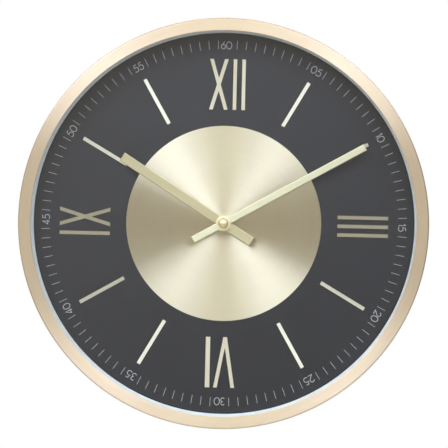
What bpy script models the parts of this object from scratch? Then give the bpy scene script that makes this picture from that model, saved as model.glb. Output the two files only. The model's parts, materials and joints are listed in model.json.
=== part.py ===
"""Round quartz wall clock: gold rim, charcoal dial, applied Roman numerals and a battery movement.

Lengths below are millimetres and are turned into metres where a piece is made. Every piece is drawn in
the clock's own frame: +X to the right as seen from the front, +Y towards twelve, +Z out of the wall
towards the viewer, with Z = 0 on the wall and the hands' axis at X = Y = 0. The empty "hand_axis"
stands that frame up in the world, where +Z is up and the dial faces -Y. The world's origin is the
point on the wall under the bearing edge of the keyhole.
"""

import math

import bpy
import bmesh
from mathutils import Vector

MM = 0.001

# Hanging
AXIS_DROP = 112.0          # from the keyhole's bearing edge down to the hands' axis

# Case
CASE_RADIUS = 150.0
CASE_DEPTH = 42.0
BEZEL_WALL = 1.1
LIP_RADIUS = 140.9         # inner edge of the bezel's front band
BEZEL_BACK = 1.0           # the bezel stops this far in front of the wall
EDGE_ROUND = 1.2           # rounding of the bezel's outer front edge
GAP = 0.3                  # running and fitting gap between neighbouring pieces
CASE_WALL = 2.6
SEAT_RADIUS = 136.0        # inner edge of the ledge that carries the dial
SEAT_Z = 23.8              # front of that ledge
SEAT_THICK = 2.8
BOSS_CIRCLE = 140.5
BOSS_RADIUS = 4.0
PILOT_RADIUS = 1.5

# Dial stack, from the ledge forward
DIAL_THICK = 1.0
DISC_RADIUS = 71.85
DISC_THICK = 0.5
MARKER_THICK = 0.5
GLASS_THICK = 2.5
REHAUT_THICK = 1.2
REHAUT_FRONT_RADIUS = 141.2
REHAUT_BACK_RADIUS = 140.0
CENTRE_HOLE = 4.3

# Hour markers
MARKER_INNER = 83.7
MARKER_OUTER = 120.95
STROKE = 2.7
HEAVY_STROKE = 3.4
BAR_PITCH = 6.44
CROSS_HALF = 5.5           # half the spread of an X at its ends, between stroke centres

# Back cover
COVER_Z = 7.0
COVER_THICK = 2.0
WINDOW_MARGIN = 0.7        # gap round the movement in the cover's window
KEYHOLE_SLOT = 2.3
KEYHOLE_ENTRY = 4.8
KEYHOLE_DROP = 11.0        # from the slot's round end down to the entry hole
SCREW_HEAD = 2.9
SCREW_HEAD_HIGH = 1.8
SCREW_SHANK = 1.2
SCREW_LENGTH = 10.0

# Movement: a square case with the battery along its lower edge
MOVE_HALF = 28.0
MOVE_BACK = 6.8
MOVE_SPLIT = 13.85         # the two half cases meet here
MOVE_FRONT = 22.8
MOVE_WALL = 1.2
BAY_TOP = -11.5            # partition between the battery bay and the wheels
BUSH_RADIUS = 4.0
BUSH_BORE = 2.7
BUSH_TOP = 28.1
PIVOT_RADIUS = 0.45
PIVOT_CLEARANCE = 0.4

# Wheel train: teeth, modules and places
ADDENDUM = 0.8
DEDENDUM = 1.1
TIP_SHARE = 0.105          # half of a tooth at its tip, as a share of the pitch
ROOT_SHARE = 0.27
MOTION_MODULE = 0.4
CANNON_TEETH = 12
MINUTE_TEETH = 36
MINUTE_PINION_TEETH = 10
HOUR_TEETH = 40
SETTING_TEETH = 12
ROTOR_TEETH = 8
FIFTH_TEETH = 40
FIFTH_PINION_TEETH = 8
SECONDS_TEETH = 48
SECONDS_PINION_TEETH = 6
THIRD_TEETH = 45
THIRD_PINION_TEETH = 6
CENTRE_TEETH = 48
ROTOR_MODULE = 0.3
FIFTH_MODULE = 0.33
SECONDS_MODULE = 0.36
MOTION_DISTANCE = (CANNON_TEETH + MINUTE_TEETH) / 2 * MOTION_MODULE
HOUR_MODULE = 2 * MOTION_DISTANCE / (MINUTE_PINION_TEETH + HOUR_TEETH)
SETTING_DISTANCE = (MINUTE_TEETH + SETTING_TEETH) / 2 * MOTION_MODULE
ROTOR_DISTANCE = (ROTOR_TEETH + FIFTH_TEETH) / 2 * ROTOR_MODULE
FIFTH_DISTANCE = (FIFTH_PINION_TEETH + SECONDS_TEETH) / 2 * FIFTH_MODULE
THIRD_DISTANCE = (SECONDS_PINION_TEETH + THIRD_TEETH) / 2 * SECONDS_MODULE
CENTRE_MODULE = 2 * THIRD_DISTANCE / (THIRD_PINION_TEETH + CENTRE_TEETH)
MINUTE_WHEEL_TURN = 0.0    # directions of the wheels' centres, degrees from +X
SETTING_TURN = 30.0
FIFTH_TURN = 60.0
ROTOR_TURN = 80.0
THIRD_TURN = 180.0

# Heights of the wheels' layers (low, high)
FIFTH_LAYER = (8.7, 9.7)
SECONDS_LAYER = (10.5, 11.5)
THIRD_LAYER = (12.3, 13.3)
CENTRE_LAYER = (14.1, 15.1)
TRAIN_PLATE = (15.9, 16.9)
MINUTE_LAYER = (17.9, 19.1)
HOUR_LAYER = (19.6, 20.8)
REAR_PIVOT = 8.3
FRONT_PIVOT = 16.6

# Hands
HAND_THICK = 0.6
HOUR_HAND_Z = 28.7
HOUR_HAND_TIP = 89.5
HOUR_HAND_TAIL = 24.8
HOUR_HAND_WIDE = 7.0
HOUR_HAND_CLOCK = 302.1    # clockwise from twelve, degrees
MINUTE_HAND_Z = 31.2
MINUTE_HAND_TIP = 118.1
MINUTE_HAND_TAIL = 25.5
MINUTE_HAND_WIDE = 5.05
MINUTE_HAND_CLOCK = 60.4
HUB_RADIUS = 5.6
HOUR_PIPE = 2.4
HOUR_PIPE_BORE = 1.95
ARBOR_RADIUS = 1.6
ARBOR_TIP = 1.1
CAP_RADIUS = 3.4

# Electrics
CELL_RADIUS = 7.1
CELL_HALF = 24.3
CELL_Y = -19.4
CELL_Z = 14.0
COIL_Y = 22.9
COIL_Z = 13.4
COIL_LEFT = -8.5
COIL_RIGHT = 15.5

# Facets round a circle, by size
RIM_STEPS = 96
RING_STEPS = 72
SMALL_STEPS = 24
PIN_STEPS = 12


def empty_the_file():
    for old in list(bpy.data.objects):
        bpy.data.objects.remove(old)


def new_collection(name):
    collection = bpy.data.collections.new(name)
    bpy.context.scene.collection.children.link(collection)
    return collection


def stand_up_frame():
    """The empty on the hands' axis that turns the clock's frame upright in the world."""
    axis = bpy.data.objects.new("hand_axis", None)
    axis.location = (0, 0, -AXIS_DROP * MM)
    axis.rotation_euler = (math.pi / 2, 0, 0)
    PARTS.objects.link(axis)
    return axis


def finish_of(name, colour, roughness, metallic=0.0, transmission=0.0):
    material = bpy.data.materials.new(name)
    material.use_nodes = True
    shader = material.node_tree.nodes["Principled BSDF"]
    shader.inputs["Base Color"].default_value = (*colour, 1.0)
    shader.inputs["Roughness"].default_value = roughness
    shader.inputs["Metallic"].default_value = metallic
    shader.inputs["Transmission Weight"].default_value = transmission
    return material


empty_the_file()
PARTS = new_collection("wall_clock")
CUTTERS = new_collection("cutters")
HAND_AXIS = stand_up_frame()

GOLD_RIM = finish_of("brushed_gold_rim", (0.83, 0.66, 0.44), 0.32, 1.0)
BLACK_ABS = finish_of("black_abs", (0.02, 0.02, 0.022), 0.5)
GLASS = finish_of("mineral_glass", (1.0, 1.0, 1.0), 0.02, 0.0, 1.0)
SILVER_RING = finish_of("silver_ring", (0.78, 0.84, 0.88), 0.25, 1.0)
CHARCOAL = finish_of("charcoal_dial", (0.075, 0.075, 0.08), 0.55)
CHAMPAGNE = finish_of("champagne_disc", (0.80, 0.75, 0.58), 0.3, 1.0)
MARKER_GOLD = finish_of("marker_champagne", (0.84, 0.80, 0.64), 0.3, 1.0)
HAND_GOLD = finish_of("hand_gold", (0.78, 0.75, 0.50), 0.35, 1.0)
BRASS = finish_of("brass", (0.78, 0.60, 0.30), 0.3, 1.0)
STEEL = finish_of("steel", (0.55, 0.55, 0.56), 0.35, 1.0)
NICKEL = finish_of("nickel_strip", (0.70, 0.69, 0.66), 0.3, 1.0)
WHITE_ACETAL = finish_of("white_acetal", (0.80, 0.80, 0.77), 0.45)
RED_ACETAL = finish_of("red_acetal", (0.55, 0.06, 0.05), 0.45)
RUBBER = finish_of("black_rubber", (0.03, 0.03, 0.03), 0.8)
BOARD_GREEN = finish_of("board_green", (0.05, 0.22, 0.11), 0.5)
COPPER = finish_of("enamelled_copper", (0.62, 0.24, 0.10), 0.35, 1.0)
MAGNET = finish_of("magnet", (0.12, 0.12, 0.13), 0.4, 0.8)
CELL_JACKET = finish_of("cell_jacket", (0.10, 0.12, 0.15), 0.35, 0.3)


def place(name, mesh, material, where, collection=None):
    obj = bpy.data.objects.new(name, mesh)
    (collection or PARTS).objects.link(obj)
    obj.parent = HAND_AXIS
    obj.location = Vector(where) * MM
    if material:
        mesh.materials.append(material)
    return obj


def turned(name, profile, material, steps, where=(0, 0, 0)):
    """A turned piece from (radius, height) points that run down its outer side and back up its bore."""
    mesh = bpy.data.meshes.new(name)
    points = [(radius * MM, 0, height * MM) for radius, height in profile]
    edges = [(i, i + 1) for i in range(len(points) - 1)]
    if profile[0][0] > 0:
        edges.append((len(points) - 1, 0))
    mesh.from_pydata(points, edges, [])
    obj = place(name, mesh, material, where)
    screw = obj.modifiers.new("turn", "SCREW")
    screw.axis = "Z"
    screw.angle = 2 * math.pi
    screw.steps = steps
    screw.render_steps = steps
    screw.use_merge_vertices = True
    screw.merge_threshold = 1e-6
    return obj


def ring(name, bore, radius, low, high, material, steps, where=(0, 0, 0)):
    profile = [(radius, high), (radius, low), (bore, low), (bore, high)]
    return turned(name, profile, material, steps, where)


def flat(name, outlines, low, high, material, where=(0, 0, 0), turn=0.0, collection=None):
    """A flat piece between two heights: the first outline is its edge and the others are its holes."""
    curve = bpy.data.curves.new(name, "CURVE")
    curve.dimensions = "2D"
    curve.fill_mode = "BOTH"
    curve.extrude = (high - low) / 2 * MM
    for outline in outlines:
        spline = curve.splines.new("POLY")
        spline.points.add(len(outline) - 1)
        spline.use_cyclic_u = True
        for point, (x, y) in zip(spline.points, outline):
            point.co = (x * MM, y * MM, 0, 1)
    drawn = bpy.data.objects.new(name + "_outline", curve)
    CUTTERS.objects.link(drawn)
    graph = bpy.context.evaluated_depsgraph_get()
    mesh = bpy.data.meshes.new_from_object(drawn.evaluated_get(graph))
    mesh.name = name
    bpy.data.objects.remove(drawn)
    shape = bmesh.new()
    shape.from_mesh(mesh)
    bmesh.ops.remove_doubles(shape, verts=shape.verts, dist=1e-7)
    bmesh.ops.translate(shape, verts=shape.verts, vec=(0, 0, (low + high) / 2 * MM))
    shape.to_mesh(mesh)
    shape.free()
    obj = place(name, mesh, material, where, collection)
    obj.rotation_euler.z = turn
    return obj


def rod(name, radius, low, high, material, where=(0, 0, 0), steps=PIN_STEPS, collection=None):
    """A plain cylinder along the clock's Z."""
    shape = bmesh.new()
    bmesh.ops.create_cone(shape, cap_ends=True, segments=steps, radius1=radius * MM,
                          radius2=radius * MM, depth=(high - low) * MM)
    bmesh.ops.translate(shape, verts=shape.verts, vec=(0, 0, (low + high) / 2 * MM))
    mesh = bpy.data.meshes.new(name)
    shape.to_mesh(mesh)
    shape.free()
    return place(name, mesh, material, where, collection)


def block(name, low, high, material, collection=None):
    """A box between two corners."""
    shape = bmesh.new()
    bmesh.ops.create_cube(shape, size=1.0)
    size = [(b - a) * MM for a, b in zip(low, high)]
    middle = [(b + a) / 2 for a, b in zip(low, high)]
    bmesh.ops.scale(shape, verts=shape.verts, vec=size)
    mesh = bpy.data.meshes.new(name)
    shape.to_mesh(mesh)
    shape.free()
    return place(name, mesh, material, middle, collection)


def combine(piece, tools, operation):
    """Join or cut a piece with tools that stay hidden in the cutters' collection."""
    for tool in tools:
        tool.hide_render = True
        tool.display_type = "WIRE"
        boolean = piece.modifiers.new(operation.lower(), "BOOLEAN")
        boolean.operation = operation
        boolean.solver = "EXACT"
        boolean.object = tool
    return piece


def smooth(piece):
    piece.data.shade_smooth()
    piece.data.set_sharp_from_angle(angle=math.radians(35))
    return piece


def arc(centre, radius, start, end, steps):
    """Points round an arc, from one angle to another in degrees, both ends included."""
    angles = [math.radians(start + (end - start) * i / steps) for i in range(steps + 1)]
    return [(centre[0] + radius * math.cos(a), centre[1] + radius * math.sin(a)) for a in angles]


def circle(radius, steps, centre=(0, 0)):
    return arc(centre, radius, 0, 360 * (steps - 1) / steps, steps - 1)


def rectangle(left, bottom, right, top):
    return [(left, bottom), (right, bottom), (right, top), (left, top)]


def polar(distance, degrees):
    return distance * math.cos(math.radians(degrees)), distance * math.sin(math.radians(degrees))


def clock_turn(degrees):
    """Rotation about the clock's Z that points +Y at this many degrees clockwise from twelve."""
    return -math.radians(degrees)


# Case, glass and dial

def make_front_bezel():
    inner = CASE_RADIUS - BEZEL_WALL
    back_of_band = CASE_DEPTH - EDGE_ROUND
    corner = arc((CASE_RADIUS - EDGE_ROUND, back_of_band), EDGE_ROUND, 90, 0, 3)
    profile = [(LIP_RADIUS + GAP, CASE_DEPTH)] + corner + [
        (CASE_RADIUS, BEZEL_BACK),
        (inner, BEZEL_BACK),
        (inner, back_of_band),
        (LIP_RADIUS, back_of_band),
        (LIP_RADIUS, CASE_DEPTH - GAP),
    ]
    turned("front_bezel", profile, GOLD_RIM, RIM_STEPS)


def case_inner_radius():
    return CASE_RADIUS - BEZEL_WALL - GAP - CASE_WALL


def make_case_ring():
    outer = CASE_RADIUS - BEZEL_WALL - GAP
    inner = case_inner_radius()
    front = CASE_DEPTH - EDGE_ROUND - GAP
    ledge_back = SEAT_Z - SEAT_THICK
    profile = [(inner, front), (outer, front), (outer, 0.5), (outer - 0.5, 0), (inner, 0),
               (inner, ledge_back), (SEAT_RADIUS, ledge_back), (SEAT_RADIUS, SEAT_Z), (inner, SEAT_Z)]
    case = turned("case_ring", profile, BLACK_ABS, RING_STEPS)
    places = [polar(BOSS_CIRCLE, 45 + 90 * i) for i in range(4)]
    cover_front = COVER_Z + COVER_THICK
    bosses = [rod(f"boss_{i}", BOSS_RADIUS, cover_front + GAP, ledge_back + 1, None, (*at, 0), 16, CUTTERS)
              for i, at in enumerate(places)]
    pilots = [rod(f"pilot_{i}", PILOT_RADIUS, 0, ledge_back - 2, None, (*at, 0), 10, CUTTERS)
              for i, at in enumerate(places)]
    combine(case, bosses, "UNION")
    combine(case, pilots, "DIFFERENCE")


def fit_radius():
    """Radius of the round pieces that drop into the case from the front."""
    return case_inner_radius() - GAP


def make_glass():
    front = CASE_DEPTH - EDGE_ROUND - GAP
    back = front - GLASS_THICK
    edge = fit_radius()
    profile = [(0, front), (edge - 0.4, front), (edge, front - 0.4), (edge, back + 0.4),
               (edge - 0.4, back), (0, back)]
    turned("glass_lens", profile, GLASS, RING_STEPS)


def make_rehaut():
    """The ring between dial and glass: an open channel with a nearly upright inner wall."""
    front = CASE_DEPTH - EDGE_ROUND - 2 * GAP - GLASS_THICK
    back = SEAT_Z + 2 * GAP + DIAL_THICK
    edge = fit_radius()
    profile = [(REHAUT_FRONT_RADIUS, front), (edge, front), (edge, front - REHAUT_THICK),
               (REHAUT_FRONT_RADIUS + REHAUT_THICK, front - REHAUT_THICK),
               (REHAUT_BACK_RADIUS + REHAUT_THICK, back + REHAUT_THICK),
               (edge, back + REHAUT_THICK), (edge, back), (REHAUT_BACK_RADIUS, back)]
    turned("rehaut_ring", profile, SILVER_RING, RING_STEPS)


def dial_front():
    return SEAT_Z + GAP + DIAL_THICK


def make_dial():
    edge = circle(fit_radius(), RING_STEPS)
    hole = circle(CENTRE_HOLE, SMALL_STEPS)
    flat("dial_plate", [edge, hole], SEAT_Z + GAP, dial_front(), CHARCOAL)


def make_centre_disc():
    edge = circle(DISC_RADIUS, RING_STEPS)
    hole = circle(CENTRE_HOLE, SMALL_STEPS)
    low = dial_front() + GAP
    flat("centre_disc", [edge, hole], low, low + DISC_THICK, CHAMPAGNE)


# Applied hour markers

def bar_outline(width):
    half = (MARKER_OUTER - MARKER_INNER) / 2
    return rectangle(-width / 2, -half, width / 2, half)


def cross_outline():
    """An X of two strokes whose ends are cut square to the numeral's height."""
    half = (MARKER_OUTER - MARKER_INNER) / 2
    side = STROKE / 2 / math.cos(math.atan(CROSS_HALF / half))
    notch = half * side / CROSS_HALF
    top = [(-CROSS_HALF - side, half), (-CROSS_HALF + side, half), (0, notch),
           (CROSS_HALF - side, half), (CROSS_HALF + side, half), (side, 0)]
    return top + [(-x, -y) for x, y in top]


def vee_outline():
    """A V whose point is at the inner end, a little to the left of its arms' middle."""
    half = (MARKER_OUTER - MARKER_INNER) / 2
    side = STROKE / 2 / math.cos(math.atan(BAR_PITCH / 2 / half))
    notch = 2 * half * side / BAR_PITCH - half
    point = -0.35
    return [(point + side, -half), (BAR_PITCH + side, half), (BAR_PITCH - side, half),
            (point * (1 - side / BAR_PITCH), notch), (-BAR_PITCH + side, half),
            (-BAR_PITCH - side, half), (point - side, -half)]


def marker(name, outline, clock_degrees, sideways=0.0):
    """One applied marker: drawn upright, then carried round to its hour."""
    middle = (MARKER_INNER + MARKER_OUTER) / 2
    turn = clock_turn(clock_degrees)
    where = (sideways * math.cos(turn) - middle * math.sin(turn),
             sideways * math.sin(turn) + middle * math.cos(turn), 0)
    low = dial_front() + GAP
    flat(name, [outline], low, low + MARKER_THICK, MARKER_GOLD, where, turn)


def make_markers():
    bar = bar_outline(STROKE)
    marker("numeral_xii_x", cross_outline(), 0, -5.9)
    marker("numeral_xii_i_1", bar, 0, 5.93)
    marker("numeral_xii_i_2", bar, 0, 12.35)
    for i in range(3):
        marker(f"numeral_iii_i_{i + 1}", bar, 90, (i - 1) * BAR_PITCH)
    marker("numeral_vi_v", vee_outline(), 180, -2.84)
    marker("numeral_vi_i", bar_outline(HEAVY_STROKE), 180, 9.35)
    marker("numeral_ix_i", bar, 270, -9.3)
    marker("numeral_ix_x", cross_outline(), 270, 2.75)
    for hour in (1, 2, 4, 5, 7, 8, 10, 11):
        marker(f"baton_{hour:02d}", bar, hour * 30)


# Back cover and its screws

def keyhole_outline():
    """Entry hole below, narrow slot above, with the slot's round end on the bearing edge."""
    slot_y = AXIS_DROP - KEYHOLE_SLOT
    entry_y = slot_y - KEYHOLE_DROP
    meet = math.degrees(math.acos(KEYHOLE_SLOT / KEYHOLE_ENTRY))
    slot_end = arc((0, slot_y), KEYHOLE_SLOT, 0, 180, 8)
    entry = arc((0, entry_y), KEYHOLE_ENTRY, 180 - meet, 360 + meet, 16)
    return slot_end + entry


def make_back_cover():
    edge = circle(case_inner_radius() - 0.7, RING_STEPS)
    window = MOVE_HALF + WINDOW_MARGIN
    holes = [circle(SCREW_SHANK + 2 * GAP, PIN_STEPS, polar(BOSS_CIRCLE, 45 + 90 * i)) for i in range(4)]
    outlines = [edge, rectangle(-window, -window, window, window), keyhole_outline()] + holes
    flat("back_cover", outlines, COVER_Z, COVER_Z + COVER_THICK, BLACK_ABS)


def make_cover_screws():
    """Pan-head screws driven forward from the back, heads towards the wall."""
    seat = COVER_Z - GAP
    crown = seat - SCREW_HEAD_HIGH
    tip = seat + SCREW_LENGTH
    profile = [(0, tip), (SCREW_SHANK * 0.5, tip), (SCREW_SHANK, tip - 1.2), (SCREW_SHANK, seat),
               (SCREW_HEAD, seat), (SCREW_HEAD, seat - 0.9), (SCREW_HEAD * 0.7, crown), (0, crown)]
    for i in range(4):
        where = (*polar(BOSS_CIRCLE, 45 + 90 * i), 0)
        screw = turned(f"back_cover_screw_{i + 1}", profile, STEEL, 16, where)
        long_arm = SCREW_HEAD * 0.55
        cross = [(0.35, 0.35), (0.35, long_arm), (-0.35, long_arm), (-0.35, 0.35), (-long_arm, 0.35),
                 (-long_arm, -0.35), (-0.35, -0.35), (-0.35, -long_arm), (0.35, -long_arm),
                 (0.35, -0.35), (long_arm, -0.35), (long_arm, 0.35)]
        recess = flat(f"recess_{i}", [cross], crown - 1, crown + 1, None, where, 0.2 + 0.3 * i, CUTTERS)
        combine(screw, [recess], "DIFFERENCE")


# Movement case

def make_movement_cases():
    wall = MOVE_WALL
    inner = MOVE_HALF - wall
    joint = GAP / 2
    front = block("movement_front_case", (-MOVE_HALF, -MOVE_HALF, MOVE_SPLIT + joint),
                  (MOVE_HALF, MOVE_HALF, MOVE_FRONT), BLACK_ABS)
    front_room = MOVE_FRONT - wall - 0.1
    front_cuts = [
        block("front_train_room", (-inner, BAY_TOP + wall, 0), (inner, inner, front_room), None, CUTTERS),
        block("front_cell_room", (-inner, -inner, 0), (inner, BAY_TOP, front_room), None, CUTTERS),
    ]
    combine(front, front_cuts, "DIFFERENCE")
    bush = rod("bush", BUSH_RADIUS, MOVE_FRONT - 1, BUSH_TOP, None, steps=SMALL_STEPS, collection=CUTTERS)
    pillars = [rod(f"pillar_{i}", 1.3, TRAIN_PLATE[1] + GAP, front_room + 0.5, None, (x, y, 0), 10, CUTTERS)
               for i, (x, y) in enumerate(((-16.5, -8.3), (22.5, -8.3), (-16.5, 16.5), (22.5, 16.5)))]
    combine(front, [bush, *pillars], "UNION")
    bore = rod("bush_bore", BUSH_BORE, front_room - 5, BUSH_TOP + 1, None, steps=SMALL_STEPS,
               collection=CUTTERS)
    combine(front, [bore], "DIFFERENCE")

    rear = block("movement_rear_case", (-MOVE_HALF, -MOVE_HALF, MOVE_BACK),
                 (MOVE_HALF, MOVE_HALF, MOVE_SPLIT - joint), BLACK_ABS)
    rear_cuts = [
        block("rear_train_room", (-inner, BAY_TOP + wall, MOVE_BACK + wall), (inner, inner, 20), None,
              CUTTERS),
        block("rear_cell_room", (-inner, -inner, 0), (inner, BAY_TOP, 20), None, CUTTERS),
        rod("setting_hole", 1.5, 0, 20, None, (*SETTING_AT, 0), SMALL_STEPS, CUTTERS),
    ]
    combine(rear, rear_cuts, "DIFFERENCE")


def make_train_plate():
    """The middle plate: it carries the front pivots of the train and parts it from the motion work."""
    edge = rectangle(-18.5, -10.0, 24.5, 18.6)
    pivot = PIVOT_RADIUS + PIVOT_CLEARANCE
    holes = [circle(1.4, SMALL_STEPS),
             circle(1.4, SMALL_STEPS, SETTING_AT)]
    holes += [circle(pivot, PIN_STEPS, at) for at in (MINUTE_AT, FIFTH_AT, ROTOR_AT, THIRD_AT)]
    flat("train_plate", [edge, *holes], *TRAIN_PLATE, WHITE_ACETAL)


def make_dial_fixings():
    """What clamps the dial between the movement and its nut."""
    bore = BUSH_RADIUS + GAP
    ring("rubber_washer", bore, 9.0, MOVE_FRONT + GAP, SEAT_Z, RUBBER, SMALL_STEPS)
    low = dial_front() + 2 * GAP + DISC_THICK
    hexagon = circle(5.6, 6)
    flat("fixing_nut", [hexagon, circle(bore, SMALL_STEPS)], low, low + 1.9, BRASS)


# Wheels

def gear_outline(teeth, module, phase=0.0):
    """Straight-flanked teeth, thinner than their gaps, so that meshed wheels keep some backlash."""
    pitch_radius = teeth * module / 2
    root = pitch_radius - DEDENDUM * module
    tip = pitch_radius + ADDENDUM * module
    corners = ((root, -ROOT_SHARE), (tip, -TIP_SHARE), (tip, TIP_SHARE), (root, ROOT_SHARE))
    points = []
    for tooth in range(teeth):
        for radius, share in corners:
            angle = phase + (tooth + share) * 2 * math.pi / teeth
            points.append((radius * math.cos(angle), radius * math.sin(angle)))
    return points


def meshed_phase(from_at, from_teeth, from_phase, to_at, to_teeth):
    """Phase that sets a gap of the second gear against a tooth of the first, on the line of centres."""
    line = math.atan2(to_at[1] - from_at[1], to_at[0] - from_at[0])
    along = (line - from_phase) * from_teeth / (2 * math.pi)
    return line + math.pi - (0.5 - along) * 2 * math.pi / to_teeth


def shifted(at, distance, degrees):
    step = polar(distance, degrees)
    return at[0] + step[0], at[1] + step[1]


CENTRE_AT = (0.0, 0.0)
MINUTE_AT = polar(MOTION_DISTANCE, MINUTE_WHEEL_TURN)
SETTING_AT = shifted(MINUTE_AT, SETTING_DISTANCE, SETTING_TURN)
FIFTH_AT = polar(FIFTH_DISTANCE, FIFTH_TURN)
ROTOR_AT = shifted(FIFTH_AT, ROTOR_DISTANCE, ROTOR_TURN)
THIRD_AT = polar(THIRD_DISTANCE, THIRD_TURN)


def wheel(name, at, layer, teeth, module, phase, material, added):
    """A toothed wheel with its pinion, arbor or pipe joined on. The added tools share its origin."""
    piece = flat(name, [gear_outline(teeth, module, phase)], *layer, material, (*at, 0))
    return combine(piece, added, "UNION")


def pinion(name, at, low, high, teeth, module, phase):
    return flat(name, [gear_outline(teeth, module, phase)], low, high, None, (*at, 0), 0.0, CUTTERS)


def pin(name, at, low, high, radius=PIVOT_RADIUS):
    return rod(name, radius, low, high, None, (*at, 0), PIN_STEPS, CUTTERS)


def make_going_train():
    """Rotor, fifth, seconds, third and centre wheels, in mesh one after another."""
    rotor_phase = 0.0
    fifth_phase = meshed_phase(ROTOR_AT, ROTOR_TEETH, rotor_phase, FIFTH_AT, FIFTH_TEETH)
    seconds_phase = meshed_phase(FIFTH_AT, FIFTH_PINION_TEETH, 0.0, CENTRE_AT, SECONDS_TEETH)
    third_phase = meshed_phase(CENTRE_AT, SECONDS_PINION_TEETH, 0.0, THIRD_AT, THIRD_TEETH)
    centre_phase = meshed_phase(THIRD_AT, THIRD_PINION_TEETH, 0.0, CENTRE_AT, CENTRE_TEETH)

    magnet_low = SECONDS_LAYER[0] + 0.1
    magnet_high = magnet_low + 3.0
    wheel("rotor_pinion", ROTOR_AT, (FIFTH_LAYER[0] - 0.2, magnet_low - GAP), ROTOR_TEETH, ROTOR_MODULE,
          rotor_phase, RED_ACETAL, [pin("rotor_arbor", ROTOR_AT, REAR_PIVOT, FRONT_PIVOT)])
    ring("rotor_magnet", PIVOT_RADIUS + GAP, 2.6, magnet_low, magnet_high, MAGNET, SMALL_STEPS,
         (*ROTOR_AT, 0))
    wheel("fifth_wheel", FIFTH_AT, FIFTH_LAYER, FIFTH_TEETH, ROTOR_MODULE, fifth_phase, WHITE_ACETAL,
          [pinion("fifth_pinion", FIFTH_AT, FIFTH_LAYER[1] - 0.2, SECONDS_LAYER[1] + 0.1,
                  FIFTH_PINION_TEETH, FIFTH_MODULE, 0.0),
           pin("fifth_arbor", FIFTH_AT, REAR_PIVOT, FRONT_PIVOT)])
    wheel("seconds_wheel", CENTRE_AT, SECONDS_LAYER, SECONDS_TEETH, FIFTH_MODULE, seconds_phase,
          WHITE_ACETAL,
          [pinion("seconds_pinion", CENTRE_AT, SECONDS_LAYER[1] - 0.2, THIRD_LAYER[1] + 0.1,
                  SECONDS_PINION_TEETH, SECONDS_MODULE, 0.0),
           pin("seconds_arbor", CENTRE_AT, REAR_PIVOT, THIRD_LAYER[1] + 0.25)])
    wheel("third_wheel", THIRD_AT, THIRD_LAYER, THIRD_TEETH, SECONDS_MODULE, third_phase, WHITE_ACETAL,
          [pinion("third_pinion", THIRD_AT, THIRD_LAYER[1] - 0.2, CENTRE_LAYER[1] + 0.1,
                  THIRD_PINION_TEETH, CENTRE_MODULE, 0.0),
           pin("third_arbor", THIRD_AT, REAR_PIVOT, FRONT_PIVOT)])
    wheel("centre_wheel", CENTRE_AT, CENTRE_LAYER, CENTRE_TEETH, CENTRE_MODULE, centre_phase,
          WHITE_ACETAL, [pin("centre_arbor", CENTRE_AT, CENTRE_LAYER[0] - 0.2, FRONT_PIVOT, 0.9)])


def make_motion_work():
    """Cannon pinion, minute wheel, hour wheel and setting wheel, which turn the hands."""
    minute_phase = meshed_phase(CENTRE_AT, CANNON_TEETH, 0.0, MINUTE_AT, MINUTE_TEETH)
    hour_phase = meshed_phase(MINUTE_AT, MINUTE_PINION_TEETH, 0.0, CENTRE_AT, HOUR_TEETH)
    setting_phase = meshed_phase(MINUTE_AT, MINUTE_TEETH, minute_phase, SETTING_AT, SETTING_TEETH)

    through_hand = MINUTE_HAND_Z + HAND_THICK + 0.1
    stem_low = FRONT_PIVOT + 0.4
    wheel("minute_arbor", CENTRE_AT, (MINUTE_LAYER[0] - 0.2, MINUTE_LAYER[1]), CANNON_TEETH,
          MOTION_MODULE, 0.0, BRASS,
          [rod("minute_stem", ARBOR_RADIUS, stem_low, through_hand, None, steps=16, collection=CUTTERS),
           rod("minute_thread", ARBOR_TIP, through_hand - 1, through_hand + 2.2, None, steps=16,
               collection=CUTTERS)])
    wheel("minute_wheel", MINUTE_AT, MINUTE_LAYER, MINUTE_TEETH, MOTION_MODULE, minute_phase,
          WHITE_ACETAL,
          [pinion("minute_pinion", MINUTE_AT, MINUTE_LAYER[1] - 0.2, HOUR_LAYER[1] + 0.1,
                  MINUTE_PINION_TEETH, HOUR_MODULE, 0.0),
           pin("minute_wheel_arbor", MINUTE_AT, TRAIN_PLATE[0] + 0.1, HOUR_LAYER[1] + 0.4)])
    hour_top = HOUR_HAND_Z + HAND_THICK + 0.4
    hour = wheel("hour_wheel", CENTRE_AT, HOUR_LAYER, HOUR_TEETH, HOUR_MODULE, hour_phase, WHITE_ACETAL,
                 [rod("hour_pipe", HOUR_PIPE, HOUR_LAYER[0], hour_top, None, steps=SMALL_STEPS,
                      collection=CUTTERS)])
    combine(hour, [rod("hour_pipe_bore", HOUR_PIPE_BORE, 0, hour_top + 5, None, steps=SMALL_STEPS,
                       collection=CUTTERS)], "DIFFERENCE")
    wheel("setting_wheel", SETTING_AT, MINUTE_LAYER, SETTING_TEETH, MOTION_MODULE, setting_phase,
          WHITE_ACETAL,
          [pin("setting_stem", SETTING_AT, MOVE_BACK - 1.9, MINUTE_LAYER[1] - 0.3, 1.0),
           pin("setting_pivot", SETTING_AT, MINUTE_LAYER[1] - 0.4, HOUR_LAYER[1] + 0.4)])


def make_set_knob():
    """Fluted knob pressed on the setting wheel's stem, behind the movement."""
    flutes = 20
    outline = []
    for i in range(2 * flutes):
        radius = 4.4 if i % 2 else 4.0
        outline.append((radius * math.cos(math.pi * i / flutes), radius * math.sin(math.pi * i / flutes)))
    bore = circle(1.0 + GAP, PIN_STEPS)
    flat("set_knob", [outline, bore], MOVE_BACK - GAP - 1.6, MOVE_BACK - GAP, RED_ACETAL,
         (*SETTING_AT, 0))


# Hands

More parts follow.
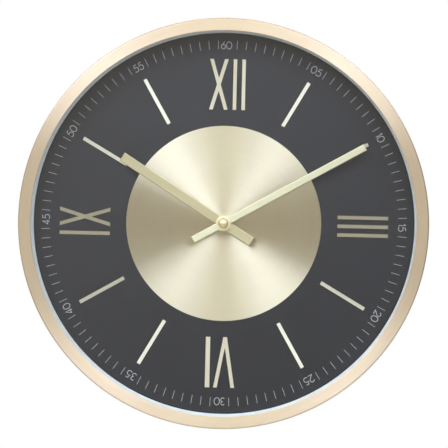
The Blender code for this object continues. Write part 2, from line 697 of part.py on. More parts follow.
def hand_outline(width, tip, tail):
    """A square-ended strip with a round boss over the arbor."""
    half = width / 2
    boss_angle = math.degrees(math.asin(half / HUB_RADIUS))
    right = arc((0, 0), HUB_RADIUS, -90 + boss_angle, 90 - boss_angle, 8)
    left = arc((0, 0), HUB_RADIUS, 90 + boss_angle, 270 - boss_angle, 8)
    return [(half, -tail)] + right + [(half, tip), (-half, tip)] + left + [(-half, -tail)]


def make_hands():
    flat("hour_hand",
         [hand_outline(HOUR_HAND_WIDE, HOUR_HAND_TIP, HOUR_HAND_TAIL), circle(HOUR_PIPE + GAP, SMALL_STEPS)],
         HOUR_HAND_Z, HOUR_HAND_Z + HAND_THICK, HAND_GOLD, turn=clock_turn(HOUR_HAND_CLOCK))
    flat("minute_hand",
         [hand_outline(MINUTE_HAND_WIDE, MINUTE_HAND_TIP, MINUTE_HAND_TAIL),
          circle(ARBOR_RADIUS + GAP, SMALL_STEPS)],
         MINUTE_HAND_Z, MINUTE_HAND_Z + HAND_THICK, HAND_GOLD, turn=clock_turn(MINUTE_HAND_CLOCK))
    low = MINUTE_HAND_Z + HAND_THICK + GAP
    shoulder = low + 1.2
    bore = ARBOR_TIP + GAP
    dome = [(CAP_RADIUS * math.cos(t), shoulder + 2.0 * math.sin(t))
            for t in (math.radians(90 - 15 * i) for i in range(1, 7))]
    profile = [(0, shoulder + 2.0)] + dome + [(CAP_RADIUS, low), (bore, low), (bore, low + 2.3),
                                               (0, low + 2.3)]
    turned("cap_nut", profile, BRASS, SMALL_STEPS)


# Electrics

def make_stator_and_coil():
    coil_low = COIL_Z
    core_half = 0.5
    leg_top = 26.4
    edge = [(-13, 11.0), (20, 11.0), (20, leg_top), (16.4, leg_top), (16.4, 19.2), (-9.4, 19.2),
            (-9.4, leg_top), (-13, leg_top)]
    stator_high = coil_low - core_half - GAP
    flat("stator_plate", [edge, circle(3.2, SMALL_STEPS, ROTOR_AT)], stator_high - 1.0, stator_high, STEEL)
    block("coil_core", (-12.6, COIL_Y - 1.0, coil_low - core_half),
          (19.6, COIL_Y + 1.0, coil_low + core_half), STEEL)
    length = COIL_RIGHT - COIL_LEFT
    along_x = (0, math.pi / 2, 0)
    flange = 0.8
    bobbin_profile = [(1.5, length), (3.4, length), (3.4, length - flange), (2.0, length - flange),
                      (2.0, flange), (3.4, flange), (3.4, 0), (1.5, 0)]
    bobbin = turned("coil_bobbin", bobbin_profile, WHITE_ACETAL, SMALL_STEPS, (COIL_LEFT, COIL_Y, COIL_Z))
    bobbin.rotation_euler = along_x
    winding = ring("coil_winding", 2.0 + GAP, 3.1, flange + GAP, length - flange - GAP, COPPER,
                   SMALL_STEPS, (COIL_LEFT, COIL_Y, COIL_Z))
    winding.rotation_euler = along_x


def make_circuit():
    board_high = 10.3
    block("circuit_board", (-26.3, -9.5, board_high - 0.8), (-19.0, 25.0, board_high), BOARD_GREEN)
    crystal = rod("quartz_crystal", 1.0, 0, 6.0, NICKEL, (-22.8, 12.0, board_high + GAP + 1.0), SMALL_STEPS)
    crystal.rotation_euler = (math.pi / 2, 0, 0)
    blob = [(0, 1.1), (1.4, 0.9), (2.2, 0.4), (2.5, 0.0), (0, 0.0)]
    turned("chip_cover", blob, BLACK_ABS, SMALL_STEPS, (-22.8, 0.5, board_high + GAP))


def make_cell():
    """An AA cell on its side, with its button to the right, between two spring contacts."""
    length = 2 * CELL_HALF
    profile = [(0, length + 0.9), (2.6, length + 0.9), (2.6, length), (CELL_RADIUS - 0.5, length),
               (CELL_RADIUS, length - 0.5), (CELL_RADIUS, 0.5), (CELL_RADIUS - 0.5, 0), (0, 0)]
    cell = turned("battery_cell", profile, CELL_JACKET, SMALL_STEPS, (-CELL_HALF, CELL_Y, CELL_Z))
    cell.rotation_euler = (0, math.pi / 2, 0)
    inner = MOVE_HALF - MOVE_WALL
    block("battery_contact_positive", (inner - 0.9, CELL_Y - 4, 9.0), (inner - 0.5, CELL_Y + 4, 19.0), NICKEL)
    spring_z = (9.5, 18.5)
    bend = [(-inner + 0.4, CELL_Y - 5), (-inner + 0.8, CELL_Y - 5), (-inner + 2.1, CELL_Y),
            (-inner + 0.8, CELL_Y + 5), (-inner + 0.4, CELL_Y + 5), (-inner + 1.6, CELL_Y)]
    flat("battery_contact_negative", [bend], *spring_z, NICKEL)


make_front_bezel()
make_case_ring()
make_glass()
make_rehaut()
make_dial()
make_centre_disc()
make_markers()
make_back_cover()
make_cover_screws()
make_movement_cases()
make_train_plate()
make_dial_fixings()
make_going_train()
make_motion_work()
make_set_knob()
make_hands()
make_stator_and_coil()
make_circuit()
make_cell()

for part in PARTS.objects:
    if part.type == "MESH":
        smooth(part)
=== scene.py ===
import json
import math

import bmesh
import bpy
from mathutils import Matrix, Vector


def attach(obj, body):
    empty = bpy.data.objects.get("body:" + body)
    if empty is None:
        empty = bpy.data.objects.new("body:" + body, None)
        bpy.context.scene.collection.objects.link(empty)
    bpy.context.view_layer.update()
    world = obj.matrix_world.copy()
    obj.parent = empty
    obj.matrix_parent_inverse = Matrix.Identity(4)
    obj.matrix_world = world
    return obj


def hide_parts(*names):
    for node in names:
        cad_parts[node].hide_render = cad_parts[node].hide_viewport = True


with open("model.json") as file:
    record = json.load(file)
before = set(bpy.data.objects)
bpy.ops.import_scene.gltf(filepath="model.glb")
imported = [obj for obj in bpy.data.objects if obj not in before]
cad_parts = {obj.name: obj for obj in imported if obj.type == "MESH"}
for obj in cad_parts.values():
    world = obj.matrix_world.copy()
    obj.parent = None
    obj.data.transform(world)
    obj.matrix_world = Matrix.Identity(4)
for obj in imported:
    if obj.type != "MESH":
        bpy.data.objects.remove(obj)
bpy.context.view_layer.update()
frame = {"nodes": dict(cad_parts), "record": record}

RECORD = frame["record"]
BODY_OF = {node: body for body, nodes in RECORD["behaviour"]["bodies"].items() for node in nodes}
SLOT_OF = {part["node"]: part["material_slot"] for part in RECORD["subparts"]}

# Shapes are drawn in millimetres in the clock's own frame: +X to the right as seen from the front,
# +Y towards twelve, +Z out of the wall, with the hands' axis at X = Y = 0 and the wall at Z = 0.
MM = 0.001
AXIS_DROP = 112.0
HUB = (0.0, 0.0, -AXIS_DROP * MM)
HANG = Matrix.Translation(HUB) @ Matrix.Rotation(math.pi / 2, 4, "X") @ Matrix.Scale(MM, 4)

ROUND = 256                # facets round the large turned pieces
SMALL_ROUND = 64
CREASE = 35                # faces that meet at more degrees than this keep a crisp edge

# Case and glass
RIM_RADIUS = 150.0
RIM_FRONT = 42.0
RIM_BACK = 1.0
RIM_WALL = 1.1
LIP_RADIUS = 140.9
LIP_BACK = 40.8
EDGE_ROUND = 1.2
RIM_GROOVE = ((4.6, 0.0), (4.35, 0.3), (3.85, 0.3), (3.6, 0.0))     # height and depth along its section
FIT_RADIUS = 145.7         # the round pieces that drop into the case from the front
GLASS_BACK = 38.0
GLASS_FRONT = 40.5

# Dial stack
REHAUT_BACK = 25.4
REHAUT_FRONT = 37.7
REHAUT_BACK_RADIUS = 140.0
REHAUT_FRONT_RADIUS = 141.2
REHAUT_WALL = 1.2
DIAL_BACK = 24.1
DIAL_FRONT = 25.1
CENTRE_HOLE = 4.3
# inner edge of the black ring that paints a shade line round the dial's margin
SHADE_LINE_RADIUS = 139.0
DISC_RADIUS = 71.85
DISC_BACK = 25.4
DISC_FRONT = 25.9

# Wall side
COVER_BACK = 7.0
CASE_BACK = 6.8            # the movement's rear case
KEYHOLE_SLOT = 2.3
KEYHOLE_ENTRY = 4.8
KEYHOLE_DROP = 11.0
KNOB_PLACE = (17.914, 4.8)
SUNK = 0.05                # how far raised work is set into the moulding under it
RIB_HEIGHT = 5.6           # wall-side faces of the raised work
FRAME_HEIGHT = 5.2
COLLAR_HEIGHT = 5.4
STEP_HEIGHT = 6.5
INNER_RIB = (62.0, 63.6)   # inner and outer radius
OUTER_RIB = (126.0, 127.6)
SPOKES = 12
SPOKE_HALF = 0.8
ARROW_RADIUS = 6.6         # turning arrow round the set knob
ARROW_END = -50
POLARITY_X = 21.5          # the battery's plus and minus marks
POLARITY_Y = -8.2
POLARITY_REACH = 1.5

# Printed track
TICK_INNER = 128.4
TICK_OUTER = 134.8
TICK_WIDE = 0.32
TRACK_STEPS = 120
FIGURE_FOOT = 128.5
FIGURE_HIGH = 5.3
FIGURE_STROKE = 0.5
FIGURE_SPACE = 0.75
TOP_FIGURE_SHIFT = 0.9     # the 60 is printed a little to the left
INK_THICK = 0.06

# Hands
HOUR_CLOCK = 302.1         # clockwise from twelve, degrees
MINUTE_CLOCK = 60.4
HAND_FRONT = 31.8          # front face of the minute hand
COLLET_BORE = 3.62
COLLET_RADIUS = 5.5
CAP_RADIUS = 3.4
CAP_FOOT = 32.1
CAP_SKIRT = 0.9            # from the foot to where the dome starts
CAP_DOME = 2.25
CAP_BORE = 1.4
CAP_BORE_DEEP = 2.2

# Studio, in metres and degrees
FLOOR_LEVEL = -1.6
LAMP_DISTANCE = 3.0
CAMERA_DISTANCE = 1.5
FRAME_WIDTH = 0.3265       # what the frame spans at the rim's front
AIM_RIGHT = 0.00081        # where the camera points, off the hands' axis
AIM_DOWN = 0.00031
CAMERA_RIGHT = 1.8
CAMERA_UP = 0.3
CAMERA_ROLL = 1.37


# Node helpers

def put(tree, kind, inputs=None, **settings):
    """Add a node; its inputs take numbers, colours or sockets to link."""
    node = tree.nodes.new(kind)
    for key, value in settings.items():
        setattr(node, key, value)
    for key, value in (inputs or {}).items():
        if isinstance(value, bpy.types.NodeSocket):
            tree.links.new(value, node.inputs[key])
        else:
            node.inputs[key].default_value = value
    return node


def reckon(tree, operation, *values, clamp=False):
    """One step of arithmetic on numbers or sockets."""
    node = put(tree, "ShaderNodeMath", dict(enumerate(values)), operation=operation, use_clamp=clamp)
    return node.outputs[0]


def reckon_vector(tree, operation, first, second):
    return put(tree, "ShaderNodeVectorMath", {0: first, 1: second}, operation=operation).outputs[0]


def spread(tree, value, low, high, to_low=0.0, to_high=1.0):
    """Carry a value from one range to another, held at both ends."""
    ends = {"Value": value, 1: low, 2: high, 3: to_low, 4: to_high}
    return put(tree, "ShaderNodeMapRange", ends, clamp=True).outputs[0]


def tint(tree, share, first, second):
    """Mix two colours by a share from 0 to 1."""
    node = put(tree, "ShaderNodeMix", {0: share}, data_type="RGBA")
    for index, colour in ((6, first), (7, second)):
        if isinstance(colour, bpy.types.NodeSocket):
            tree.links.new(colour, node.inputs[index])
        else:
            node.inputs[index].default_value = (*colour, 1.0)
    return node.outputs[2]


def noise(tree, place, scale, detail=2.0, rough=0.5):
    values = {"Vector": place, "Scale": scale, "Detail": detail, "Roughness": rough}
    return put(tree, "ShaderNodeTexNoise", values).outputs["Fac"]


def new_effect(name, inputs, outputs):
    """A shared effect: a node group with named inputs and outputs."""
    tree = bpy.data.node_groups.new(name, "ShaderNodeTree")
    for label, default in inputs:
        kind = "NodeSocketVector" if default is None else "NodeSocketFloat"
        socket = tree.interface.new_socket(name=label, in_out="INPUT", socket_type=kind)
        if default is not None:
            socket.default_value = default
    for label in outputs:
        tree.interface.new_socket(name=label, in_out="OUTPUT", socket_type="NodeSocketFloat")
    return tree, put(tree, "NodeGroupInput").outputs, put(tree, "NodeGroupOutput").inputs


def give(tree, out, **results):
    """Link a shared effect's results to its named outputs."""
    for label, socket in results.items():
        tree.links.new(socket, out[label.replace("_", " ")])


# Shared effects

def make_spun_lines():
    """Fine lines turned round the hands' axis, as a brush leaves them on a spinning blank."""
    tree, given, out = new_effect("spun_lines", (("Place", None), ("Line mm", 0.4), ("Run", 3.0)),
                                  ("Line", "Band"))
    from_axis = reckon_vector(tree, "SUBTRACT", given["Place"], HUB)
    x, y, z = put(tree, "ShaderNodeSeparateXYZ", {0: from_axis}).outputs
    flat_place = put(tree, "ShaderNodeCombineXYZ", {0: x, 2: z}).outputs[0]
    radius = put(tree, "ShaderNodeVectorMath", {0: flat_place}, operation="LENGTH").outputs["Value"]
    towards = put(tree, "ShaderNodeVectorMath", {0: flat_place}, operation="NORMALIZE").outputs[0]
    run = put(tree, "ShaderNodeSeparateXYZ", {0: towards}).outputs
    depth = reckon(tree, "ADD", radius, reckon(tree, "MULTIPLY", y, 0.73))
    across = reckon(tree, "DIVIDE", reckon(tree, "MULTIPLY", depth, 1 / MM), given["Line mm"])
    place = put(tree, "ShaderNodeCombineXYZ", {
        0: across,
        1: reckon(tree, "MULTIPLY", run[0], given["Run"]),
        2: reckon(tree, "MULTIPLY", run[2], given["Run"]),
    }).outputs[0]
    line = noise(tree, place, 1.0, 4.0, 0.65)
    wide_place = reckon_vector(tree, "MULTIPLY", place, (0.12, 0.5, 0.5))
    give(tree, out, Line=line, Band=noise(tree, wide_place, 1.0, 2.0))
    return tree


def make_straight_lines():
    """Fine lines along the piece's own X, for brushed strip."""
    tree, given, out = new_effect("straight_lines", (("Place", None), ("Line mm", 0.25), ("Run mm", 14.0)),
                                  ("Line", "Band"))
    x, y, z = put(tree, "ShaderNodeSeparateXYZ", {0: given["Place"]}).outputs
    place = put(tree, "ShaderNodeCombineXYZ", {
        0: reckon(tree, "DIVIDE", reckon(tree, "MULTIPLY", x, 1 / MM), given["Run mm"]),
        1: reckon(tree, "DIVIDE", reckon(tree, "MULTIPLY", y, 1 / MM), given["Line mm"]),
        2: reckon(tree, "DIVIDE", reckon(tree, "MULTIPLY", z, 1 / MM), given["Line mm"]),
    }).outputs[0]
    wide_place = reckon_vector(tree, "MULTIPLY", place, (0.4, 0.2, 0.2))
    give(tree, out, Line=noise(tree, place, 1.0, 3.0, 0.6), Band=noise(tree, wide_place, 1.0, 2.0))
    return tree


def make_moulded_skin():
    """Spark-eroded texture of a moulding, with the slow flow variation behind it."""
    tree, given, out = new_effect("moulded_skin", (("Place", None), ("Grain mm", 0.35)), ("Height", "Flow"))
    per_metre = reckon(tree, "DIVIDE", 1 / MM, given["Grain mm"])
    fine = noise(tree, given["Place"], per_metre, 3.0, 0.6)
    cells = put(tree, "ShaderNodeTexVoronoi", {"Vector": given["Place"], "Scale": per_metre},
                feature="SMOOTH_F1").outputs["Distance"]
    height = reckon(tree, "MULTIPLY_ADD", cells, 0.5, fine)
    give(tree, out, Height=height, Flow=noise(tree, given["Place"], 38.0, 3.0, 0.55))
    return tree


def make_handling():
    """Smudges and hairline scuffs from being handled and wiped."""
    tree, given, out = new_effect("handling", (("Place", None), ("Amount", 0.5)), ("Smudge", "Scuff"))
    smudge = spread(tree, noise(tree, given["Place"], 26.0, 4.0, 0.6), 0.46, 0.72)
    bent = reckon_vector(tree, "MULTIPLY", given["Place"], (2600.0, 2600.0, 180.0))
    hair = spread(tree, noise(tree, bent, 1.0, 2.0, 0.5), 0.70, 0.78)
    patch = spread(tree, noise(tree, given["Place"], 55.0, 2.0), 0.5, 0.7)
    scuff = reckon(tree, "MULTIPLY", hair, patch)
    give(tree, out, Smudge=reckon(tree, "MULTIPLY", smudge, given["Amount"]),
         Scuff=reckon(tree, "MULTIPLY", scuff, given["Amount"]))
    return tree


def make_edge_rub():
    """Where an outer edge is rubbed: the sharp ridges, broken up along their length."""
    tree, given, out = new_effect("edge_rub", (("Place", None), ("Amount", 0.5)), ("Rub",))
    ridge = spread(tree, put(tree, "ShaderNodeNewGeometry").outputs["Pointiness"], 0.52, 0.62)
    broken = spread(tree, noise(tree, given["Place"], 420.0, 4.0, 0.7), 0.38, 0.62)
    rub = reckon(tree, "MULTIPLY", reckon(tree, "MULTIPLY", ridge, broken), given["Amount"], clamp=True)
    give(tree, out, Rub=rub)
    return tree


def make_settled_dust():
    """Thin dust on what faces up."""
    tree, given, out = new_effect("settled_dust", (("Place", None), ("Amount", 0.5)), ("Dust",))
    normal = put(tree, "ShaderNodeNewGeometry").outputs["Normal"]
    up = put(tree, "ShaderNodeSeparateXYZ", {0: normal}).outputs[2]
    speck = spread(tree, noise(tree, given["Place"], 900.0, 4.0, 0.7), 0.35, 0.75)
    dust = reckon(tree, "MULTIPLY", spread(tree, up, 0.3, 0.95), speck)
    give(tree, out, Dust=reckon(tree, "MULTIPLY", dust, given["Amount"]))
    return tree


SPUN_LINES = make_spun_lines()
STRAIGHT_LINES = make_straight_lines()
MOULDED_SKIN = make_moulded_skin()
HANDLING = make_handling()
EDGE_RUB = make_edge_rub()
SETTLED_DUST = make_settled_dust()


def use(tree, effect, **values):
    """Place a shared effect; underscores in the names stand for spaces."""
    node = put(tree, "ShaderNodeGroup", node_tree=effect)
    for label, value in values.items():
        socket = node.inputs[label.replace("_", " ")]
        if isinstance(value, bpy.types.NodeSocket):
            tree.links.new(value, socket)
        else:
            socket.default_value = value
    return node.outputs


def start_finish(name, **plain):
    """A material with its shader's even values set, and the place on the piece at rest."""
    material = bpy.data.materials.new(name)
    material.use_nodes = True
    tree = material.node_tree
    shader = tree.nodes["Principled BSDF"]
    for label, value in plain.items():
        shader.inputs[label.replace("_", " ")].default_value = value
    place = put(tree, "ShaderNodeTexCoord").outputs["Object"]
    return material, tree, shader, place


def bump(tree, shader, height, depth):
    """Relief of a depth in millimetres."""
    node = put(tree, "ShaderNodeBump", {"Height": height, "Distance": depth * MM, "Strength": 1.0})
    tree.links.new(node.outputs[0], shader.inputs["Normal"])


def brush_round(tree, shader, place):
    """Gloss drawn out across lines that run round the hands' axis."""
    from_axis = reckon_vector(tree, "SUBTRACT", place, HUB)
    outward = reckon_vector(tree, "MULTIPLY", from_axis, (1.0, 0.0, 1.0))
    point_gloss(tree, shader, put(tree, "ShaderNodeVectorMath", {0: outward},
                                  operation="NORMALIZE").outputs[0])


def brush_along(tree, shader, clock_degrees):
    """Gloss drawn out across lines that run along a hand."""
    turn = math.radians(clock_degrees)
    point_gloss(tree, shader, put(tree, "ShaderNodeCombineXYZ", {
        0: math.cos(turn), 2: -math.sin(turn)}).outputs[0])


def point_gloss(tree, shader, direction):
    """Aim the shader's drawn-out gloss by a direction that turns with the piece."""
    turned_with_piece = put(tree, "ShaderNodeVectorTransform", {0: direction}, vector_type="VECTOR",
                            convert_from="OBJECT", convert_to="WORLD").outputs[0]
    tree.links.new(turned_with_piece, shader.inputs["Tangent"])


# Finishes

def spun_metal(name, colour, deep, roughness, streak, stretch, line_mm, lines, run, **plain):
    """Brushed round the hands' axis and lacquered."""
    material, tree, shader, place = start_finish(name, Anisotropic=stretch, **{"Metallic": 1.0, **plain})
    spun = use(tree, SPUN_LINES, Place=place, Line_mm=line_mm, Run=run)
    marks = use(tree, HANDLING, Place=place, Amount=0.5)
    shade = reckon(tree, "MULTIPLY_ADD", spun["Band"], 0.6, reckon(tree, "MULTIPLY", spun["Line"], 0.4))
    share = spread(tree, shade, 0.5 - streak, 0.5 + streak)
    tree.links.new(tint(tree, share, deep, colour), shader.inputs["Base Color"])
    rough = spread(tree, spun["Line"], 0.3, 0.7, roughness - 0.03, roughness + 0.03)
    rough = reckon(tree, "MULTIPLY_ADD", marks["Smudge"], 0.04, rough)
    tree.links.new(rough, shader.inputs["Roughness"])
    bump(tree, shader, spun["Line"], lines)
    brush_round(tree, shader, place)
    return material, tree, shader, place


def rim_metal():
    """The rim's brushed gold under clear lacquer, with painted shade: its colour is darkened over the
    rolled-over edge.
    """
    material, tree, shader, place = spun_metal(
        "brushed_gold_rim", (0.855, 0.70, 0.455), (0.805, 0.645, 0.41), 0.39, 0.16, 1.0, 0.5, 0.012, 9.0,
        Metallic=0.70, Coat_Weight=0.4, Coat_Roughness=0.35, Coat_IOR=1.6)
    from_axis = reckon_vector(tree, "MULTIPLY", reckon_vector(tree, "SUBTRACT", place, HUB), (1.0, 0.0, 1.0))
    radius = put(tree, "ShaderNodeVectorMath", {0: from_axis}, operation="LENGTH").outputs["Value"]
    # painted shade: the colour darkens to a dark brown over the rolled outer edge
    rolled = spread(tree, radius, (RIM_RADIUS - EDGE_ROUND) * MM, (RIM_RADIUS - 0.3) * MM)
    colour = shader.inputs["Base Color"].links[0].from_socket
    tree.links.new(tint(tree, rolled, colour, (0.50, 0.36, 0.23)), shader.inputs["Base Color"])
    return material


def strip_metal(name, colour, deep, roughness, stretch, clock_degrees):
    """Brushed along a hand."""
    material, tree, shader, place = start_finish(name, Metallic=1.0, Anisotropic=stretch)
    turned_place = put(tree, "ShaderNodeVectorRotate", {
        "Vector": place, "Center": HUB, "Axis": (0.0, 1.0, 0.0),
        "Angle": math.radians(90 - clock_degrees)}, rotation_type="AXIS_ANGLE").outputs[0]
    brushed = use(tree, STRAIGHT_LINES, Place=turned_place, Line_mm=0.16, Run_mm=16.0)
    share = spread(tree, brushed["Line"], 0.25, 0.75)
    tree.links.new(tint(tree, share, deep, colour), shader.inputs["Base Color"])
    tree.links.new(spread(tree, brushed["Band"], 0.3, 0.7, roughness - 0.02, roughness + 0.02),
                   shader.inputs["Roughness"])
    bump(tree, shader, brushed["Line"], 0.006)
    brush_along(tree, shader, clock_degrees)
    return material


def plain_metal(name, colour, deep, roughness, grain_mm=0.3):
    """Barrel-finished or stamped metal with tumbling marks."""
    material, tree, shader, place = start_finish(name, Metallic=1.0)
    skin = use(tree, MOULDED_SKIN, Place=place, Grain_mm=grain_mm)
    marks = use(tree, HANDLING, Place=place, Amount=0.8)
    rub = use(tree, EDGE_RUB, Place=place, Amount=0.4)
    body = tint(tree, spread(tree, skin["Flow"], 0.35, 0.65), deep, colour)
    bright = [min(1.0, value * 1.2) for value in colour]
    tree.links.new(tint(tree, rub["Rub"], body, bright), shader.inputs["Base Color"])
    rough = reckon(tree, "MULTIPLY_ADD", marks["Smudge"], 0.12, roughness)
    tree.links.new(reckon(tree, "MULTIPLY_ADD", marks["Scuff"], 0.15, rough), shader.inputs["Roughness"])
    bump(tree, shader, skin["Height"], 0.006)
    return material


def moulding(name, colour, pale, roughness, grain_mm=0.35, depth=0.02, dusty=0.35, **plain):
    """Injection-moulded plastic: eroded skin, flow variation, rubbed edges and a little dust."""
    material, tree, shader, place = start_finish(name, **plain)
    skin = use(tree, MOULDED_SKIN, Place=place, Grain_mm=grain_mm)
    marks = use(tree, HANDLING, Place=place, Amount=0.7)
    rub = use(tree, EDGE_RUB, Place=place, Amount=0.5)
    dust = use(tree, SETTLED_DUST, Place=place, Amount=dusty)
    body = tint(tree, spread(tree, skin["Flow"], 0.3, 0.7, 0.0, 0.2), colour, pale)
    body = tint(tree, rub["Rub"], body, pale)
    tree.links.new(tint(tree, dust["Dust"], body, (0.42, 0.40, 0.37)), shader.inputs["Base Color"])
    rough = reckon(tree, "MULTIPLY_ADD", marks["Smudge"], -0.12, roughness)
    rough = reckon(tree, "MULTIPLY_ADD", dust["Dust"], 0.3, rough)
    tree.links.new(rough, shader.inputs["Roughness"])
    bump(tree, shader, skin["Height"], depth)
    return material


def dial_paint():
    """Satin charcoal paint with a faint orange-peel skin."""
    material, tree, shader, place = start_finish("charcoal_dial_paint", Specular_IOR_Level=0.3)
    skin = use(tree, MOULDED_SKIN, Place=place, Grain_mm=0.1)
    marks = use(tree, HANDLING, Place=place, Amount=0.15)
    share = spread(tree, skin["Flow"], 0.3, 0.7)
    tree.links.new(tint(tree, share, (0.0095, 0.0095, 0.0098), (0.0115, 0.0115, 0.0118)),
                   shader.inputs["Base Color"])
    tree.links.new(reckon(tree, "MULTIPLY_ADD", marks["Smudge"], -0.05, 0.5), shader.inputs["Roughness"])
    bump(tree, shader, skin["Height"], 0.0002)
    return material


def track_ink():
    """Pale screen-printed ink, a little uneven in cover."""
    material, tree, shader, place = start_finish("track_ink", Metallic=0.2)
    cover = spread(tree, noise(tree, place, 1500.0, 3.0), 0.3, 0.7)
    tree.links.new(tint(tree, cover, (0.385, 0.365, 0.32), (0.50, 0.475, 0.42)), shader.inputs["Base Color"])
    tree.links.new(spread(tree, cover, 0.0, 1.0, 0.5, 0.4), shader.inputs["Roughness"])
    bump(tree, shader, cover, 0.004)
    return material


def clear_glass():
    """Float glass: clear, faintly green, with a trace of wiping marks, and open to light from lamps."""
    material, tree, shader, place = start_finish(
        "clear_float_glass", Base_Color=(0.985, 0.995, 0.99, 1.0), Transmission_Weight=1.0, IOR=1.5)
    wiped = spread(tree, noise(tree, place, 60.0, 3.0), 0.4, 0.8, 0.0, 0.018)
    tree.links.new(wiped, shader.inputs["Roughness"])
    open_air = put(tree, "ShaderNodeBsdfTransparent", {"Color": (0.97, 0.98, 0.975, 1.0)})
    path = put(tree, "ShaderNodeLightPath")
    either = put(tree, "ShaderNodeMixShader", {
        0: path.outputs["Is Shadow Ray"], 1: shader.outputs[0], 2: open_air.outputs[0]})
    tree.links.new(either.outputs[0], tree.nodes["Material Output"].inputs["Surface"])
    return material


def rehaut_finish():
    """Satin silver paint on the inner ring."""
    material, tree, shader, place = start_finish("satin_silver_ring", Metallic=0.0)
    spun = use(tree, SPUN_LINES, Place=place, Line_mm=0.5, Run=2.0)
    tree.links.new(tint(tree, spread(tree, spun["Band"], 0.3, 0.7), (0.82, 0.83, 0.71),
                        (0.90, 0.905, 0.78)), shader.inputs["Base Color"])
    tree.links.new(spread(tree, spun["Line"], 0.3, 0.7, 0.32, 0.4), shader.inputs["Roughness"])
    bump(tree, shader, spun["Line"], 0.004)
    return material


def cell_jacket():
    """Printed sleeve shrunk on a nickelled can: plain slate with a silver band by the button."""
    material, tree, shader, place = start_finish("cell_jacket", Coat_Weight=0.6, Coat_Roughness=0.12)
    x = put(tree, "ShaderNodeSeparateXYZ", {0: place}).outputs[0]
    along = reckon(tree, "MULTIPLY", x, 1 / MM)
    can = reckon(tree, "GREATER_THAN", reckon(tree, "ABSOLUTE", along), 23.5)
    band = reckon(tree, "MULTIPLY", reckon(tree, "GREATER_THAN", along, 14.0),
                  reckon(tree, "LESS_THAN", along, 20.5))
    pinstripe = reckon(tree, "MULTIPLY", reckon(tree, "GREATER_THAN", along, 12.6),
                       reckon(tree, "LESS_THAN", along, 13.2))
    flake = noise(tree, place, 2400.0, 2.0)
    silver = reckon(tree, "MAXIMUM", can, reckon(tree, "MAXIMUM", band, pinstripe))
    sleeve = tint(tree, flake, (0.045, 0.065, 0.095), (0.075, 0.10, 0.14))
    metal = tint(tree, flake, (0.48, 0.48, 0.48), (0.58, 0.58, 0.57))
    tree.links.new(tint(tree, silver, sleeve, metal), shader.inputs["Base Color"])
    tree.links.new(reckon(tree, "MULTIPLY_ADD", silver, 0.85, 0.1), shader.inputs["Metallic"])
    marks = use(tree, HANDLING, Place=place, Amount=0.9)
    tree.links.new(reckon(tree, "MULTIPLY_ADD", marks["Smudge"], 0.15, 0.28), shader.inputs["Roughness"])
    bump(tree, shader, noise(tree, place, 700.0, 2.0), 0.01)
    return material


def coil_wire():
    """Enamelled wire wound side by side along the coil."""
    material, tree, shader, place = start_finish("enamelled_winding", Metallic=0.85, Coat_Weight=0.5)
    wire = put(tree, "ShaderNodeTexWave", {"Vector": place, "Scale": 1400.0, "Distortion": 0.6},
               bands_direction="X").outputs["Fac"]
    tree.links.new(tint(tree, wire, (0.30, 0.10, 0.03), (0.72, 0.32, 0.12)), shader.inputs["Base Color"])
    tree.links.new(spread(tree, wire, 0.0, 1.0, 0.45, 0.25), shader.inputs["Roughness"])
    bump(tree, shader, wire, 0.05)
    return material


FINISH = {
    "rim_gold": rim_metal(),
    "disc_champagne": spun_metal("spun_champagne_disc", (0.825, 0.73, 0.49), (0.795, 0.70, 0.46), 0.38, 0.2,
                                 1.0, 0.35, 0.006, 3.0)[0],
    "marker_champagne": spun_metal("champagne_markers", (0.91, 0.845, 0.615), (0.88, 0.805, 0.575), 0.41, 0.2,
                                   1.0, 0.35, 0.006, 3.0)[0],
    "hour_hand": strip_metal("brushed_hour_hand", (0.595, 0.51, 0.275), (0.56, 0.475, 0.25), 0.48, 0.9,
                             HOUR_CLOCK),
    "minute_hand": strip_metal("brushed_minute_hand", (0.745, 0.685, 0.425), (0.70, 0.645, 0.385), 0.48, 0.9,
                               MINUTE_CLOCK),
    "collet": spun_metal("turned_collet", (0.86, 0.77, 0.43), (0.79, 0.69, 0.37), 0.5, 0.2, 0.0, 0.3, 0.008,
                         3.0)[0],
    "cap_brass": plain_metal("polished_cap_brass", (0.78, 0.65, 0.36), (0.68, 0.54, 0.28), 0.45),
    "ring_silver": rehaut_finish(),
    "dial_charcoal": dial_paint(),
    "clear_glass": clear_glass(),
    "case_black": moulding("black_case_moulding", (0.016, 0.016, 0.018), (0.06, 0.06, 0.062), 0.55),
    "rubber": moulding("black_rubber", (0.012, 0.012, 0.012), (0.03, 0.03, 0.03), 0.85, 0.25, 0.03,
                       Specular_IOR_Level=0.2),
    "white_acetal": moulding("white_acetal", (0.74, 0.74, 0.70), (0.84, 0.84, 0.80), 0.42, 0.2, 0.006, 0.1),
    "red_acetal": moulding("red_acetal", (0.42, 0.035, 0.03), (0.60, 0.09, 0.07), 0.45, 0.25, 0.01, 0.15),
    "board_green": moulding("circuit_board_mask", (0.02, 0.14, 0.06), (0.05, 0.26, 0.12), 0.35, 0.8, 0.02,
                            0.1, Coat_Weight=0.4),
    "brass": plain_metal("turned_brass", (0.86, 0.74, 0.47), (0.76, 0.62, 0.37), 0.33),
    "steel": plain_metal("zinc_plated_steel", (0.55, 0.55, 0.56), (0.44, 0.45, 0.46), 0.46),
    "nickel_strip": plain_metal("nickel_strip", (0.72, 0.70, 0.66), (0.62, 0.60, 0.56), 0.28),
    "magnet": plain_metal("sintered_magnet", (0.16, 0.16, 0.17), (0.11, 0.11, 0.12), 0.45, 0.15),
    "copper": coil_wire(),
    "cell_jacket": cell_jacket(),
    "track_ink": track_ink(),
}


# Shape helpers

def set_piece(name, shape, finish, body="root", stands_for=(), sharp_degrees=CREASE):
    """Turn a shape drawn in the clock's frame into a piece that rides on a body."""
    bmesh.ops.transform(shape, matrix=HANG, verts=shape.verts)
    return finish_piece(name, shape, finish, body, stands_for, sharp_degrees)


